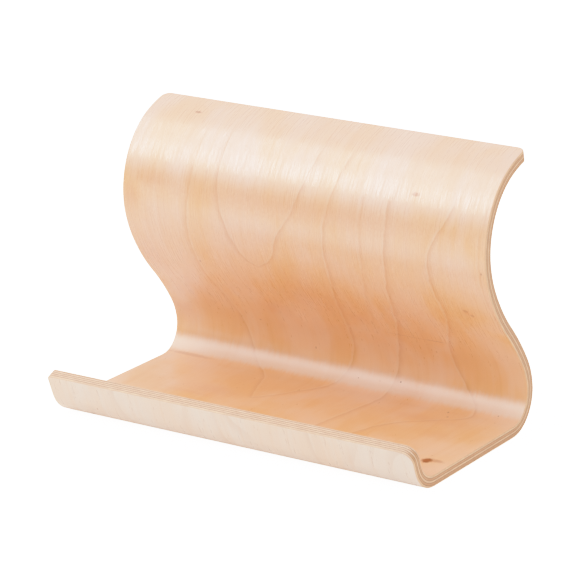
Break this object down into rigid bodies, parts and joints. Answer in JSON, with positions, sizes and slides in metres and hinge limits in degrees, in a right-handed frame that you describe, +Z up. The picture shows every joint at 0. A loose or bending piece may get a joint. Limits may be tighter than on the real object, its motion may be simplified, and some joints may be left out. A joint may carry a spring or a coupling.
{
  "type": "phone stand",
  "caption": "Free-standing press-moulded birch plywood stand with a flat base, a low front lip and an S-shaped backrest, for holding a phone, reader or tablet upright on a desk.",
  "frame": {"origin": "below the middle of the stand's box, on the surface that it stands on", "axes": "+X along the width to the right as the user sees it, -Y towards the user and the lip, +Z up"},
  "size_m": [0.26, 0.1524, 0.1825],
  "materials": {
    "face_veneer": "clear satin lacquer over sliced birch, grain along the bend",
    "cross_veneer": "sanded and lacquered edge, grain along the width",
    "core_veneer": "sanded and lacquered edge, grain along the bend",
    "glue_film": "cured glue line, matt"
  },
  "bodies": {
    "root": {"outer_face_veneer": "face_veneer", "glue_film_1": "glue_film", "outer_cross_veneer": "cross_veneer", "glue_film_2": "glue_film", "core_veneer": "core_veneer", "glue_film_3": "glue_film", "inner_cross_veneer": "cross_veneer", "glue_film_4": "glue_film", "inner_face_veneer": "face_veneer"}
  },
  "joints": []
}
